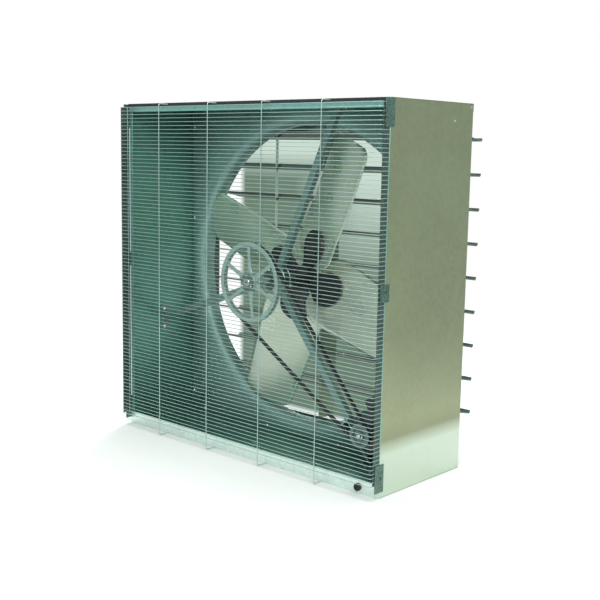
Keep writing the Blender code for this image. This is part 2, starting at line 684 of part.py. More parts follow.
def shutter():
    mesh = louver_mesh()
    mesh.materials.append(material("louver_aluminium", *FINISHES["aluminium"]))
    for i, z in enumerate(hinge_heights(), 1):
        add_object(f"louver_{i}", mesh, location=(0, HINGE_Y, z), rotation=(-LOUVER_DROOP, 0, 0))
    tie_bars()
    frame_room = HALF - SHEET - GAP
    window_x = LOUVER_HALF + 0.005
    window = rectangle(-window_x, WINDOW_LOW - AXIS_Z, window_x, WINDOW_HIGH - AXIS_Z)
    panel_front = BACK - 3 * SHEET - 2 * GAP
    plate("shutter_panel", rectangle(-frame_room, -frame_room, frame_room, frame_room), SHEET,
          "galvanised", [window], (0, panel_front + SHEET / 2, AXIS_Z), LYING_Y)
    rear, lap = panel_front - GAP, 0.020
    pivots = [circle(HINGE_Y, z, 0.0036, 8) for z in hinge_heights()]
    upright = rectangle(rear - 0.045, WINDOW_LOW - lap, rear, WINDOW_HIGH + lap)
    for side, name in ((-1, "left"), (1, "right")):
        plate("shutter_jamb_" + name, upright, 0.003, "aluminium", pivots,
              (side * (LOUVER_HALF + 0.0045), 0, 0), LYING_X)
    low, high, fin = WINDOW_LOW + GAP, WINDOW_HIGH - GAP, BACK + MULLION_REACH
    divider = [(rear - 0.025, WINDOW_LOW - lap), (rear, WINDOW_LOW - lap), (rear, low), (fin, low),
               (fin, high), (rear, high), (rear, WINDOW_HIGH + lap), (rear - 0.025, WINDOW_HIGH + lap)]
    plate("shutter_mullion", divider, 0.003, "aluminium", pivots, rotation=LYING_X)


def tie_bars():
    """Upright bars that pin all the louvers' arms together, one for each half."""
    pin_y = HINGE_Y - ARM_LENGTH * math.cos(ARM_ANGLE)
    drop = ARM_LENGTH * math.sin(ARM_ANGLE)
    heights = [z - drop for z in hinge_heights()]
    low, high = heights[-1] - heights[0] - 0.012, 0.012
    holes = [circle(0, z - heights[0], 0.0031, 8) for z in heights]
    for x, name in zip(ARMS_X, ("left", "right")):
        plate("tie_bar_" + name, rectangle(-0.007, low, 0.007, high), 0.002, "steel", holes,
              (x + math.copysign(0.002 + GAP, x), pin_y, heights[0]), LYING_X)


def cable_grommet():
    profile = [(0.0, 0.010), (0.009, 0.010), (0.014, 0.006), (0.014, GAP), (0.0, GAP)]
    turned("cable_grommet", profile, 16, "rubber", (0.594, FRONT, 0.022), LYING_Y)


def main():
    cabinet()
    orifice_panel()
    guard()
    guard_clips()
    propeller()
    shaft()
    driven_sheave()
    belt()
    motor()
    motor_base()
    for name, degrees in STRUT_ANGLES.items():
        strut(name, degrees)
    bearings()
    shutter()
    cable_grommet()


clear_scene()
parts = collection(COLLECTION)
main()
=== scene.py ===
"""The looks of the cabinet exhaust fan: galvanised sheet, wire guard, belt drive, propeller and louvers.

Metres, +Z up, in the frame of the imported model. The pieces take their places from its boxes and joints.
"""
import json
import math

import bmesh
import bpy
from mathutils import Matrix, Vector

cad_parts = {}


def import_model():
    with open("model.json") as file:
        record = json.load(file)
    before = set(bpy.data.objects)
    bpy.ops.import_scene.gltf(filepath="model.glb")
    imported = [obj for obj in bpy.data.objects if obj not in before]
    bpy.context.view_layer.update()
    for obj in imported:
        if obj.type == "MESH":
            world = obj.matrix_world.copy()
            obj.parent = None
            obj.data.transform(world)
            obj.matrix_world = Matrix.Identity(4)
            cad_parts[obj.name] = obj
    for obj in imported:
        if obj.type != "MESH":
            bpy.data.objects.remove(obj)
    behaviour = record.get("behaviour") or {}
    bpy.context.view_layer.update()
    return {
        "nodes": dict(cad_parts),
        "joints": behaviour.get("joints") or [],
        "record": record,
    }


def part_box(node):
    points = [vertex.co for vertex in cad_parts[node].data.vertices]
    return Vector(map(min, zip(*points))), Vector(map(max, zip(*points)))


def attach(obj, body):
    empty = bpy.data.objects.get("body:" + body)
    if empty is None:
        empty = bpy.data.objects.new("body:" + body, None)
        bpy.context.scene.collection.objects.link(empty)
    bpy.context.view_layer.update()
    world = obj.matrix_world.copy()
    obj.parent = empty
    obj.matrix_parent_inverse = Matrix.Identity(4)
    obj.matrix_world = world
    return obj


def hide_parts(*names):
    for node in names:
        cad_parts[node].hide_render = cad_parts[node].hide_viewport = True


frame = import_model()

# ---------------------------------------------------------------- places read from the frame
PIVOTS = {joint["name"]: Vector(joint["pos_m"]) for joint in frame["joints"]}
BODY_OF = {node: body for body, nodes in frame["record"]["behaviour"]["bodies"].items()
           for node in nodes}
SLOT_OF = {part["node"]: part["material_slot"] for part in frame["record"]["subparts"]}
CABINET_LOW, CABINET_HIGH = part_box("cabinet_top")
HALF = CABINET_HIGH.x
FRONT = CABINET_LOW.y
BACK = CABINET_HIGH.y
SIZE = CABINET_HIGH.z
FAN = PIVOTS["fan_spin"]
MOTOR = PIVOTS["motor_spin"]
SHEET = 0.002

# ---------------------------------------------------------------- forms that boxes can't give
# The CAD's own driving dimensions, and a few that only the looks have.
WIRE_COUNT = 88
STRIP_THICKNESS = 0.001
STRIP_BARE_LEFT = 0.003
STRIP_BARE_RIGHT = 0.012
BLADES = 4
BLADE_ANGLE = math.radians(22)
BLADE_ROOT_R = 0.062
BLADE_TIP_R = 0.598
BLADE_SHEET = 0.0025
BLADE_HALF = 0.140
BLADE_BEHIND_HUB = 0.022
BLADE_TAPER = 0.024
ROOT_ROUND = 0.080
TIP_ROUND = 0.035
ROOT_PITCH = math.radians(20)
TIP_PITCH = math.radians(14)
TWIST_START_R = 0.2135
ARM_END_R = 0.200
ARM_ROUND = 0.070
ARM_THICKNESS = 0.014
SHAFT_R = 0.016
BORE_R = SHAFT_R + 0.0003
SHEAVE_R = 0.155
SPOKES = 6
SPOKE_START = math.radians(35)
PULLEY_R = 0.044
BELT_DEPTH = 0.010
BELT_WIDTH = 0.016
BELT_SUNK = 0.0065
MOTOR_R = 0.0825
STRUT_ANGLES = {"strut_upper": 65.5, "strut_left": 199.3, "strut_motor": -51.5}
THROAT_R = 0.613
BELL_R = 0.035
THROAT_END = 0.068
LOUVER_DROOP = math.radians(12.5)
LOUVER_CHORD = 0.142
LOUVER_SHEET = 0.0014
LOUVER_HALF = 0.650
MULLION_GAP = 0.006
ROD_PAST_BLADE = 0.007
ARM_LENGTH = 0.030
ARM_ANGLE = math.radians(38)
ARM_END_ROUND = 0.0055
ARMS_X = (-0.2600, 0.3283)

FORWARD = Matrix.Rotation(math.pi / 2, 4, "X")          # local Z turned to -Y, toward the guard
BACKWARD = Matrix.Rotation(-math.pi / 2, 4, "X")        # local Z turned to +Y, toward the louvers


# ---------------------------------------------------------------- materials
class Finish:
    """A Principled material with the nodes that vary its colour, roughness and bump."""

    def __init__(self, name, metallic=0.0, roughness=0.4):
        self.material = bpy.data.materials.new(name)
        self.material.use_nodes = True
        self.tree = self.material.node_tree
        self.shader = self.tree.nodes["Principled BSDF"]
        self.shader.inputs["Metallic"].default_value = metallic
        self.shader.inputs["Roughness"].default_value = roughness
        self.place = self.tree.nodes.new("ShaderNodeTexCoord").outputs["Object"]

    def link(self, source, target):
        self.tree.links.new(source, target)

    def stretched(self, scale):
        mapping = self.tree.nodes.new("ShaderNodeMapping")
        mapping.inputs["Scale"].default_value = scale
        self.link(self.place, mapping.inputs["Vector"])
        return mapping.outputs["Vector"]

    def noise(self, scale, detail=3.0, stretch=None):
        node = self.tree.nodes.new("ShaderNodeTexNoise")
        node.inputs["Scale"].default_value = scale
        node.inputs["Detail"].default_value = detail
        self.link(self.stretched(stretch) if stretch else self.place, node.inputs["Vector"])
        return node.outputs["Fac"]

    def spangle(self, scale):
        """Crystals of zinc: one random value for each cell."""
        node = self.tree.nodes.new("ShaderNodeTexVoronoi")
        node.inputs["Scale"].default_value = scale
        self.link(self.place, node.inputs["Vector"])
        value = self.tree.nodes.new("ShaderNodeSeparateColor")
        self.link(node.outputs["Color"], value.inputs["Color"])
        return value.outputs["Red"]

    def span(self, value, low, high, new_low=0.0, new_high=1.0):
        """Carry low..high over to new_low..new_high, and hold the ends."""
        node = self.tree.nodes.new("ShaderNodeMapRange")
        limits = {"From Min": low, "From Max": high, "To Min": new_low, "To Max": new_high}
        for socket, number in limits.items():
            node.inputs[socket].default_value = number
        self.link(value, node.inputs["Value"])
        return node.outputs["Result"]

    def sum(self, first, second, operation="ADD"):
        """Join two values, or numbers, by an operation. second is None where it takes only one."""
        node = self.tree.nodes.new("ShaderNodeMath")
        node.operation = operation
        for socket, item in zip(node.inputs, (first, second)):
            if item is None:
                continue
            if isinstance(item, (int, float)):
                socket.default_value = item
            else:
                self.link(item, socket)
        return node.outputs["Value"]

    def blend(self, factor, first, second):
        """The first colour where the factor is 0, the second where it is 1."""
        node = self.tree.nodes.new("ShaderNodeMix")
        node.data_type = "RGBA"
        self.link(factor, node.inputs["Factor"])
        for socket, item in ((node.inputs[6], first), (node.inputs[7], second)):
            if isinstance(item, tuple):
                socket.default_value = (*item, 1)
            else:
                self.link(item, socket)
        return node.outputs[2]

    def facing(self, direction):
        """1 where the surface looks along the direction, 0 where it looks away."""
        normal = self.tree.nodes.new("ShaderNodeNewGeometry").outputs["Normal"]
        dot = self.tree.nodes.new("ShaderNodeVectorMath")
        dot.operation = "DOT_PRODUCT"
        self.link(normal, dot.inputs[0])
        dot.inputs[1].default_value = direction
        return self.span(dot.outputs["Value"], 0.3, 0.7)

    def height(self):
        split = self.tree.nodes.new("ShaderNodeSeparateXYZ")
        self.link(self.place, split.inputs["Vector"])
        return split.outputs["Z"]

    def colour(self, socket):
        self.link(socket, self.shader.inputs["Base Color"])

    def rough(self, socket):
        self.link(socket, self.shader.inputs["Roughness"])

    def bump(self, height, strength, distance=0.0004):
        node = self.tree.nodes.new("ShaderNodeBump")
        node.inputs["Strength"].default_value = strength
        node.inputs["Distance"].default_value = distance
        self.link(height, node.inputs["Height"])
        self.link(node.outputs["Normal"], self.shader.inputs["Normal"])


def scaled(colour, factor):
    return tuple(min(1.0, channel * factor) for channel in colour)


def galvanised(name, tone, contrast=0.12, spangle_scale=55, roughness=0.36, metallic=0.9, grain=0.10):
    """Zinc-coated sheet: spangle, soft mottling and faint rolling streaks."""
    made = Finish(name, metallic)
    crystals = made.spangle(spangle_scale)
    cloud = made.noise(3.0, 4.0)
    streaks = made.noise(9.0, 3.0, (1.0, 1.0, 0.08))
    mixed = made.sum(made.sum(crystals, 0.40, "MULTIPLY"), made.sum(cloud, 0.60, "MULTIPLY"))
    mixed = made.sum(mixed, made.sum(streaks, 0.25, "MULTIPLY"))
    factor = made.span(mixed, 0.35, 0.90)
    made.colour(made.blend(factor, scaled(tone, 1 - contrast), scaled(tone, 1 + contrast)))
    made.rough(made.span(crystals, 0, 1, roughness - 0.06, roughness + 0.08))
    made.bump(made.noise(260, 2.0), grain)
    return made


def cabinet_sheet(name, outward, outer_tone, inner_tone, front_tone):
    """A cabinet panel: weathered outside, cooler and darker inside, clean on its front flange.

    Low on the outside it is pale, a painted reflection of the floor, under a darker line that is painted
    reflection too."""
    made = Finish(name, 0.80)
    crystals = made.spangle(70)
    cloud = made.noise(2.4, 5.0)
    streaks = made.noise(7.0, 4.0, (1.0, 1.0, 0.06))
    factor = made.span(made.sum(made.sum(crystals, 0.30, "MULTIPLY"), cloud), 0.40, 0.85)
    outer = made.blend(factor, scaled(outer_tone, 0.93), scaled(outer_tone, 1.07))
    inner = made.blend(factor, scaled(inner_tone, 0.85), scaled(inner_tone, 1.15))
    # painted reflection: a pale band low on the outside stands for the floor's reflection, with a darker
    # painted line above it
    below_painted_line_top = made.span(made.height(), REFLECTION_LINE_TOP, REFLECTION_LINE_MIDDLE)
    painted_floor_reflection = made.span(made.height(), REFLECTION_LINE_MIDDLE, FLOOR_REFLECTION_TOP)
    # painted reflection: the darker line above the pale band, between the two height masks
    line = made.sum(below_painted_line_top, painted_floor_reflection, "SUBTRACT")
    outer = made.blend(made.sum(line, 0.35, "MULTIPLY"), outer, scaled(outer_tone, 0.60))
    outer = made.blend(made.sum(painted_floor_reflection, 0.85, "MULTIPLY"), outer, FLOOR_REFLECTION_TONE)
    front = made.blend(factor, scaled(front_tone, 0.90), scaled(front_tone, 1.10))
    shown = made.blend(made.facing((0, -1, 0)), outer, front)
    inward = tuple(-along for along in outward)
    made.colour(made.blend(made.facing(inward), shown, inner))
    made.rough(made.span(made.sum(streaks, crystals), 0.3, 1.6, 0.30, 0.46))
    made.bump(made.noise(230, 2.0), 0.06)
    return made


def painted(name, tone, roughness=0.42, grain=340):
    """Sprayed paint with a slight orange peel, dulled where dust settles."""
    made = Finish(name, 0.0, roughness)
    made.shader.inputs["Coat Weight"].default_value = 0.15
    made.shader.inputs["Coat Roughness"].default_value = 0.25
    dust = made.sum(made.facing((0, 0, 1)), made.noise(28, 4.0), "MULTIPLY")
    base = made.blend(made.noise(16, 3.0), scaled(tone, 0.8), scaled(tone, 1.3))
    dusty = tuple(0.05 + channel for channel in tone)
    made.colour(made.blend(made.sum(dust, 0.6, "MULTIPLY"), base, dusty))
    made.rough(made.span(made.noise(60, 3.0), 0.3, 0.7, roughness - 0.08, roughness + 0.12))
    made.bump(made.noise(grain, 2.0), 0.12)
    return made


def cast(name, tone, metallic=0.6, roughness=0.45):
    """Sand-cast iron with a fine pebbled skin."""
    made = Finish(name, metallic)
    made.colour(made.blend(made.noise(45, 5.0), scaled(tone, 0.80), scaled(tone, 1.20)))
    made.rough(made.span(made.noise(90, 4.0), 0.3, 0.7, roughness - 0.08, roughness + 0.12))
    made.bump(made.noise(520, 3.0), 0.25, 0.0006)
    return made


def bright(name, tone, roughness=0.25, metallic=1.0, stretch=(1.0, 1.0, 1.0), gloss=0.5):
    """Drawn or ground metal with fine lines along one direction."""
    made = Finish(name, metallic)
    made.shader.inputs["Specular IOR Level"].default_value = gloss
    lines = made.noise(420, 3.0, stretch)
    made.colour(made.blend(made.noise(30, 3.0), scaled(tone, 0.88), scaled(tone, 1.12)))
    made.rough(made.span(lines, 0.3, 0.7, roughness - 0.05, roughness + 0.12))
    made.bump(lines, 0.08)
    return made


def rubber(name, tone=(0.012, 0.013, 0.014)):
    made = Finish(name, 0.0)
    made.colour(made.blend(made.noise(70, 4.0), tone, scaled(tone, 2.2)))
    made.rough(made.span(made.noise(140, 3.0), 0.3, 0.7, 0.55, 0.80))
    made.bump(made.noise(800, 2.0), 0.20)
    return made


OLIVE = (0.330, 0.355, 0.225)
TEAL = (0.130, 0.320, 0.265)
# painted reflection: the pale tone of the floor's reflection, painted low on the outside of the cabinet
FLOOR_REFLECTION_TONE = (0.640, 0.740, 0.640)
BAND = (0.260, 0.520, 0.480)
CLEAN = (0.720, 0.840, 0.800)
# painted reflection: heights of the darker painted line and of the pale band below it on the cabinet
# panels
REFLECTION_LINE_TOP, REFLECTION_LINE_MIDDLE, FLOOR_REFLECTION_TOP = 0.265, 0.205, 0.150
PANELS = {"cabinet_right_side": ((1, 0, 0), BAND), "cabinet_left_side": ((-1, 0, 0), BAND),
          "cabinet_top": ((0, 0, 1), BAND), "cabinet_bottom": ((0, 0, -1), CLEAN)}
PANEL_FINISH = {name: cabinet_sheet(name + "_sheet", outward, OLIVE, TEAL, front)
                for name, (outward, front) in PANELS.items()}
FINISHES = {
    "galvanised_sheet": galvanised("galvanised_sheet", (0.26, 0.40, 0.37)),
    "orifice_sheet": galvanised("orifice_sheet", (0.26, 0.42, 0.39), 0.10, 55, 0.52, 0.55),
    "strut_sheet": galvanised("strut_sheet", (0.19, 0.30, 0.28), 0.12, 55, 0.42, 0.8),
    "blade_sheet": galvanised("blade_sheet", (0.60, 0.67, 0.55), 0.07, 18, 0.32, 0.74, 0.02),
    "clip_sheet": galvanised("clip_sheet", (0.13, 0.21, 0.18), 0.45, 160, 0.40),
    "guard_wire": bright("guard_wire", (0.47, 0.61, 0.58), 0.32, 0.85),
    "return_strip": galvanised("return_strip", (0.070, 0.110, 0.095), 0.4, 120, 0.50, 0.6),
    "shutter_aluminium": bright("shutter_aluminium", (0.13, 0.18, 0.14), 0.66, 0.20, (0.05, 1, 1),
                                0.1),
    "divider_sheet": galvanised("divider_sheet", (0.17, 0.25, 0.15), 0.15, 90, 0.5, 0.2),
    "tie_bar_strip": bright("tie_bar_strip", (0.70, 0.84, 0.78), 0.40, 0.5, (1, 1, 0.05)),
    "propeller_spider": painted("spider_paint", (0.012, 0.016, 0.016)),
    "sheave_iron": cast("sheave_iron", (0.33, 0.46, 0.42), 0.55),
    "bearing_iron": cast("bearing_iron", (0.14, 0.20, 0.19)),
    "bright_steel": bright("bright_steel", (0.50, 0.54, 0.52), 0.22),
    "motor_core": bright("motor_core", (0.30, 0.31, 0.31), 0.45, 0.8, (1, 0.05, 1)),
    "motor_paint": painted("motor_paint", (0.030, 0.045, 0.045)),
    "black_rubber": rubber("black_rubber"),
    "zinc_bolts": bright("zinc_bolts", (0.60, 0.66, 0.62), 0.28),
}


# ---------------------------------------------------------------- mesh tools
def ring_faces(bm, rings, closed_rings=True):
    """Quads between rings of points of the same count."""
    count = len(rings[0])
    for low, high in zip(rings, rings[1:]):
        for i in range(count if closed_rings else count - 1):
            j = (i + 1) % count
            bm.faces.new((low[i], low[j], high[j], high[i]))


def lathe(bm, profile, segments, place=Matrix.Identity(4), closed=True):
    """Turn a profile of (radius, height) about the local Z axis."""
    rings = []
    for i in range(segments):
        a = 2 * math.pi * i / segments
        rings.append([bm.verts.new(place @ Vector((r * math.cos(a), r * math.sin(a), h)))
                      for r, h in profile])
    ring_faces(bm, rings + rings[:1], closed)


def sweep(bm, path, section, across, closed=False):
    """Carry a section of (side, across) points along a flat path. across is the path's normal."""
    across = Vector(across)
    count = len(path)
    rings = []
    for i, point in enumerate(path):
        before = path[i - 1] if closed or i else point
        after = path[(i + 1) % count] if closed or i < count - 1 else point
        side = across.cross((after - before).normalized())
        rings.append([bm.verts.new(point + side * s + across * a) for s, a in section])
    if closed:
        rings.append(rings[0])
    ring_faces(bm, rings)
    if not closed:
        bm.faces.new(rings[0])
        bm.faces.new(rings[-1][::-1])


def disc(radius, count=8, start=0.0):
    return [(radius * math.cos(start + 2 * math.pi * i / count),
             radius * math.sin(start + 2 * math.pi * i / count)) for i in range(count)]


def arc(centre, radius, first, last, steps):
    """Points on an arc, angles in degrees."""
    angles = [math.radians(first + (last - first) * i / steps) for i in range(steps + 1)]
    return [(centre[0] + radius * math.cos(a), centre[1] + radius * math.sin(a)) for a in angles]


def rounded(points, radius, steps=4):
    """The path with each inner corner rounded."""
    made = [points[0]]
    for before, corner, after in zip(points, points[1:], points[2:]):
        back, on = (before - corner).normalized(), (after - corner).normalized()
        cut = min(radius, (before - corner).length / 2, (after - corner).length / 2)
        start, end = corner + back * cut, corner + on * cut
        for i in range(steps + 1):
            t = i / steps
            made.append(start * (1 - t) ** 2 + corner * 2 * t * (1 - t) + end * t ** 2)
    return made + [points[-1]]


def prism(bm, outline, depth, place):
    """A flat outline drawn in local XY, from z 0 up to depth."""
    low = [bm.verts.new(place @ Vector((x, y, 0))) for x, y in outline]
    high = [bm.verts.new(place @ Vector((x, y, depth))) for x, y in outline]
    ring_faces(bm, [low, high])
    bm.faces.new(low[::-1])
    bm.faces.new(high)


def block(bm, low, high, place=Matrix.Identity(4)):
    outline = [(low[0], low[1]), (high[0], low[1]), (high[0], high[1]), (low[0], high[1])]
    prism(bm, outline, high[2] - low[2], place @ Matrix.Translation((0, 0, low[2])))


def bolt(bm, at, toward, size=0.006, washer=True, thickness=None):
    """A hex head standing on a surface at a point, with its washer."""
    place = Matrix.Translation(at) @ Vector(toward).to_track_quat("Z", "Y").to_matrix().to_4x4()
    base = 0.0
    if washer:
        base = size * 0.18
        rim, hole = size * 1.35, size * 0.3
        lathe(bm, [(rim, 0.0), (rim, base), (hole, base), (hole, 0.0)], 20, place)
    top = base + (thickness or size * 0.7)
    lathe(bm, [(size, base), (size, top - size * 0.12), (size * 0.86, top), (size * 0.01, top),
               (size * 0.01, base)], 6, place)


def pan_screw(bm, at, toward, radius=0.0045):
    """A low round screw head with a cross recess."""
    place = Matrix.Translation(at) @ Vector(toward).to_track_quat("Z", "Y").to_matrix().to_4x4()
    tall = radius * 0.55
    dome = [(radius, 0.0), (radius * 0.92, tall * 0.6), (radius * 0.6, tall)]
    recess = [(radius * 0.30, tall), (radius * 0.16, tall * 0.45), (radius * 0.01, tall * 0.45)]
    lathe(bm, dome + recess + [(radius * 0.01, 0.0)], 16, place)


def piece(name, bm, finish, body, replaces=(), bevel=0.0, angle=35, slot=None):
    """A finished piece that rides on a body and stands for the CAD nodes that it replaces."""
    bmesh.ops.recalc_face_normals(bm, faces=bm.faces)
    mesh = bpy.data.meshes.new(name)
    bm.to_mesh(mesh)
    bm.free()
    mesh.materials.append(finish.material)
    mesh.shade_smooth()
    mesh.set_sharp_from_angle(angle=math.radians(angle))
    made = bpy.data.objects.new(name, mesh)
    bpy.context.scene.collection.objects.link(made)
    if bevel:
        edge = made.modifiers.new("edge", "BEVEL")
        edge.width = bevel
        edge.segments = 2
        edge.limit_method = "ANGLE"
        edge.angle_limit = math.radians(40)
    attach(made, body)
    if replaces:
        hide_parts(*replaces)
        slot = slot or SLOT_OF[replaces[0]]
    return made


def softened(node, finish, bevel=0.0006):
    """The CAD node with its creases rounded off, standing for the node."""
    bm = bmesh.new()
    bm.from_mesh(frame["nodes"][node].data)
    bmesh.ops.remove_doubles(bm, verts=bm.verts, dist=0.00002)
    bmesh.ops.dissolve_limit(bm, angle_limit=math.radians(0.5), verts=bm.verts, edges=bm.edges)
    return piece(node + "_finished", bm, finish, BODY_OF[node], [node], bevel)


# ---------------------------------------------------------------- cabinet
def cabinet():
    for name, finish in PANEL_FINISH.items():
        softened(name, finish, 0.0008)
    softened("top_edge_strip", FINISHES["black_rubber"], 0.0010)
    screws = bmesh.new()
    for side in (-1, 1):
        for y, z in ((FRONT + 0.379, SIZE - 0.066), (BACK - 0.015, 0.013), (BACK - 0.015, SIZE - 0.014)):
            pan_screw(screws, (side * HALF, y, z), (side, 0, 0), 0.0042)
        for z in (SIZE - 0.020, 0.026):
            pan_screw(screws, (side * (HALF - 0.010), FRONT, z), (0, -1, 0), 0.0040)
    piece("cabinet_screws", screws, FINISHES["zinc_bolts"], "cabinet")
    grommet = bmesh.new()
    low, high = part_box("cable_grommet")
    centre, radius = (low + high) / 2, (high.x - low.x) / 2
    tall = high.y - low.y
    profile = [(0.003, 0), (radius, 0)] + arc((radius - 0.004, tall - 0.004), 0.004, 0, 80, 5)
    profile += [(0.0075, tall), (0.0065, tall - 0.003), (0.003, tall - 0.003)]
    lathe(grommet, profile, 32, Matrix.Translation((centre.x, high.y, centre.z)) @ FORWARD)
    piece("grommet", grommet, FINISHES["black_rubber"], "cabinet", ["cable_grommet"])


def orifice():
    """The panel, its bell mouth and its venturi in one drawn sheet."""
    panel_low, panel_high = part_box("orifice_panel")
    reach, segments = panel_high.x, 160
    mouth_r = THROAT_R + BELL_R
    rows = [(mouth_r, 0.0)]
    rows += [(mouth_r - BELL_R * math.sin(math.radians(a)), BELL_R * (1 - math.cos(math.radians(a))))
             for a in range(9, 91, 9)]
    rows += [(THROAT_R, THROAT_END - 0.003), (THROAT_R + 0.0015, THROAT_END)]
    bm = bmesh.new()
    rings = [[] for _ in range(len(rows) + 1)]
    for i in range(segments):
        a = 2 * math.pi * i / segments
        c, s = math.cos(a), math.sin(a)
        edge = reach / max(abs(c), abs(s))
        for ring, (r, d) in zip(rings, [(edge, 0.0)] + rows):
            ring.append(bm.verts.new((r * c, panel_low.y + d, FAN.z + r * s)))
    ring_faces(bm, rings)
    made = piece("orifice", bm, FINISHES["orifice_sheet"], "cabinet", ["orifice_panel"])
    shell = made.modifiers.new("sheet", "SOLIDIFY")
    shell.thickness = SHEET
    shell.offset = -1.0 if sheet_offset_is_back(made) else 1.0
    bolts = bmesh.new()
    for side in (-1, 1):
        for level in (-0.6, -0.2, 0.2, 0.6):
            for across, up in ((side * (reach - 0.010), level), (level, side * (reach - 0.010))):
                bolt(bolts, (across, panel_low.y, FAN.z + up), (0, -1, 0), 0.0045)
    piece("orifice_bolts", bolts, FINISHES["zinc_bolts"], "cabinet")


def sheet_offset_is_back(obj):
    """True if the sheet's faces look toward the guard, so that its thickness lies behind them."""
    flat = max(obj.data.polygons, key=lambda face: face.area)
    return flat.normal.y < 0


# ---------------------------------------------------------------- guard
def guard():
    low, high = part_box("guard_front_wires")
    diameter = high.y - low.y
    radius, front_y = diameter / 2, (low.y + high.y) / 2
    pitch = (high.z - low.z - diameter) / (WIRE_COUNT - 1)
    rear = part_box("guard_return_right")[1].y
    side = HALF - radius
    bm = bmesh.new()
    section = disc(radius, 8, math.pi / 8)
    for i in range(WIRE_COUNT):
        z = low.z + radius + pitch * i
        corners = [Vector((-side, rear, z)), Vector((-side, front_y, z)), Vector((side, front_y, z)),
                   Vector((side, rear, z))]
        sweep(bm, rounded(corners, 0.007), section, (0, 0, 1))
    for x in (-side, side):
        inner = x - math.copysign(diameter, x)
        rail = [Vector((inner, rear - 0.010, low.z)), Vector((inner, rear - 0.010, high.z))]
        sweep(bm, rail, disc(0.0014, 10), (1, 0, 0))
    piece("guard_wires", bm, FINISHES["guard_wire"], "cabinet", ["guard_front_wires"])
    for side_name in ("left", "right"):
        node = f"guard_return_{side_name}"
        strip_low, strip_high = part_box(node)
        if side_name == "right":
            near, bare = strip_low.x, STRIP_BARE_RIGHT
        else:
            near, bare = strip_high.x - STRIP_THICKNESS, STRIP_BARE_LEFT
        bm = bmesh.new()
        block(bm, (near, strip_low.y + bare, low.z), (near + STRIP_THICKNESS, rear, high.z))
        piece(f"return_strip_{side_name}", bm, FINISHES["return_strip"], "cabinet", [node])
    for i in range(1, 5):
        stay_low, stay_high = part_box(f"guard_stay_{i}")
        x, stay_r = (stay_low.x + stay_high.x) / 2, 0.0018
        y = stay_low.y + stay_r
        route = [Vector((x, FRONT - 0.004, SIZE - 0.0065)), Vector((x, y, SIZE - 0.0060)),
                 Vector((x, y, 0.0060)), Vector((x, FRONT - 0.003, 0.0060))]
        bm = bmesh.new()
        sweep(bm, rounded(route, 0.008, 6), disc(stay_r, 12), (1, 0, 0))
        piece(f"stay_{i}", bm, FINISHES["guard_wire"], "cabinet", [f"guard_stay_{i}"])
    for side_name in ("left", "right"):
        for level in ("top", "middle", "bottom"):
            softened(f"guard_clip_{side_name}_{level}", FINISHES["clip_sheet"], 0.0005)


# ---------------------------------------------------------------- propeller
def blade_point(r, drawn_in, across):
    """A point of the blade's middle surface; across runs from -1, trailing, to 1, leading."""
    outward = max(0.0, (r - TWIST_START_R) / (BLADE_TIP_R - TWIST_START_R))
    half = BLADE_HALF - BLADE_TAPER * outward - drawn_in
    pitch = ROOT_PITCH + (TIP_PITCH - ROOT_PITCH) * outward
    bulge = 0.018 * math.sin(math.pi / 2 * min(1.0, outward * 2.5))
    s = across * half
    along = Vector((math.cos(pitch), -math.sin(pitch), 0))
    face = Vector((-math.sin(pitch), -math.cos(pitch), 0))
    tip_arc = (BLADE_TIP_R - math.sqrt(BLADE_TIP_R ** 2 - s * s)) * outward
    return along * s + face * bulge * (0.45 - across * across) + Vector((0, 0, r - tip_arc))


def blade_rows(steps=10, plain=26):
    """Radii of the blade's rows and how far each side is drawn in there, root to tip."""
    rows = []
    for i in range(steps + 1):
        a = math.radians(90 * i / steps)
        rows.append((BLADE_ROOT_R + ROOT_ROUND * (1 - math.cos(a)), ROOT_ROUND * (1 - math.sin(a))))
    start, end = rows[-1][0], BLADE_TIP_R - TIP_ROUND
    rows += [(start + (end - start) * i / plain, 0.0) for i in range(1, plain)]
    for i in range(steps, -1, -1):
        a = math.radians(90 * i / steps)
        rows.append((BLADE_TIP_R - TIP_ROUND * (1 - math.cos(a)), TIP_ROUND * (1 - math.sin(a))))
    return rows


def hub_turn(i):
    return Matrix.Rotation(BLADE_ANGLE + i * 2 * math.pi / BLADES, 4, "Y")


def propeller():
    blade_y = blade_middle()
    centre = Matrix.Translation((0, blade_y, FAN.z))
    columns = 20
    for i in range(BLADES):
        bm = bmesh.new()
        place = centre @ hub_turn(i)
        grid = [[bm.verts.new(place @ blade_point(r, drawn_in, 2 * k / columns - 1))
                 for k in range(columns + 1)] for r, drawn_in in blade_rows()]
        ring_faces(bm, grid, closed_rings=False)
        made = piece(f"fan_blade_{i + 1}", bm, FINISHES["blade_sheet"], "fan", [f"blade_{i + 1}"],
                     angle=50)
        shell = made.modifiers.new("sheet", "SOLIDIFY")
        shell.thickness = BLADE_SHEET
        shell.offset = 0.0
    spider(centre)


def blade_middle():
    """The y of the blades' middle surface, from the box of the hub that they meet."""
    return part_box("propeller_spider")[1].y - BLADE_BEHIND_HUB


def arm_place(centre, i):
    """Local XY of an arm's flat front, Y pointing outward and Z toward the guard."""
    tilt = Matrix.Rotation(-ROOT_PITCH, 4, "Z") @ Matrix.Rotation(math.pi / 2, 4, "X")
    return centre @ hub_turn(i) @ tilt


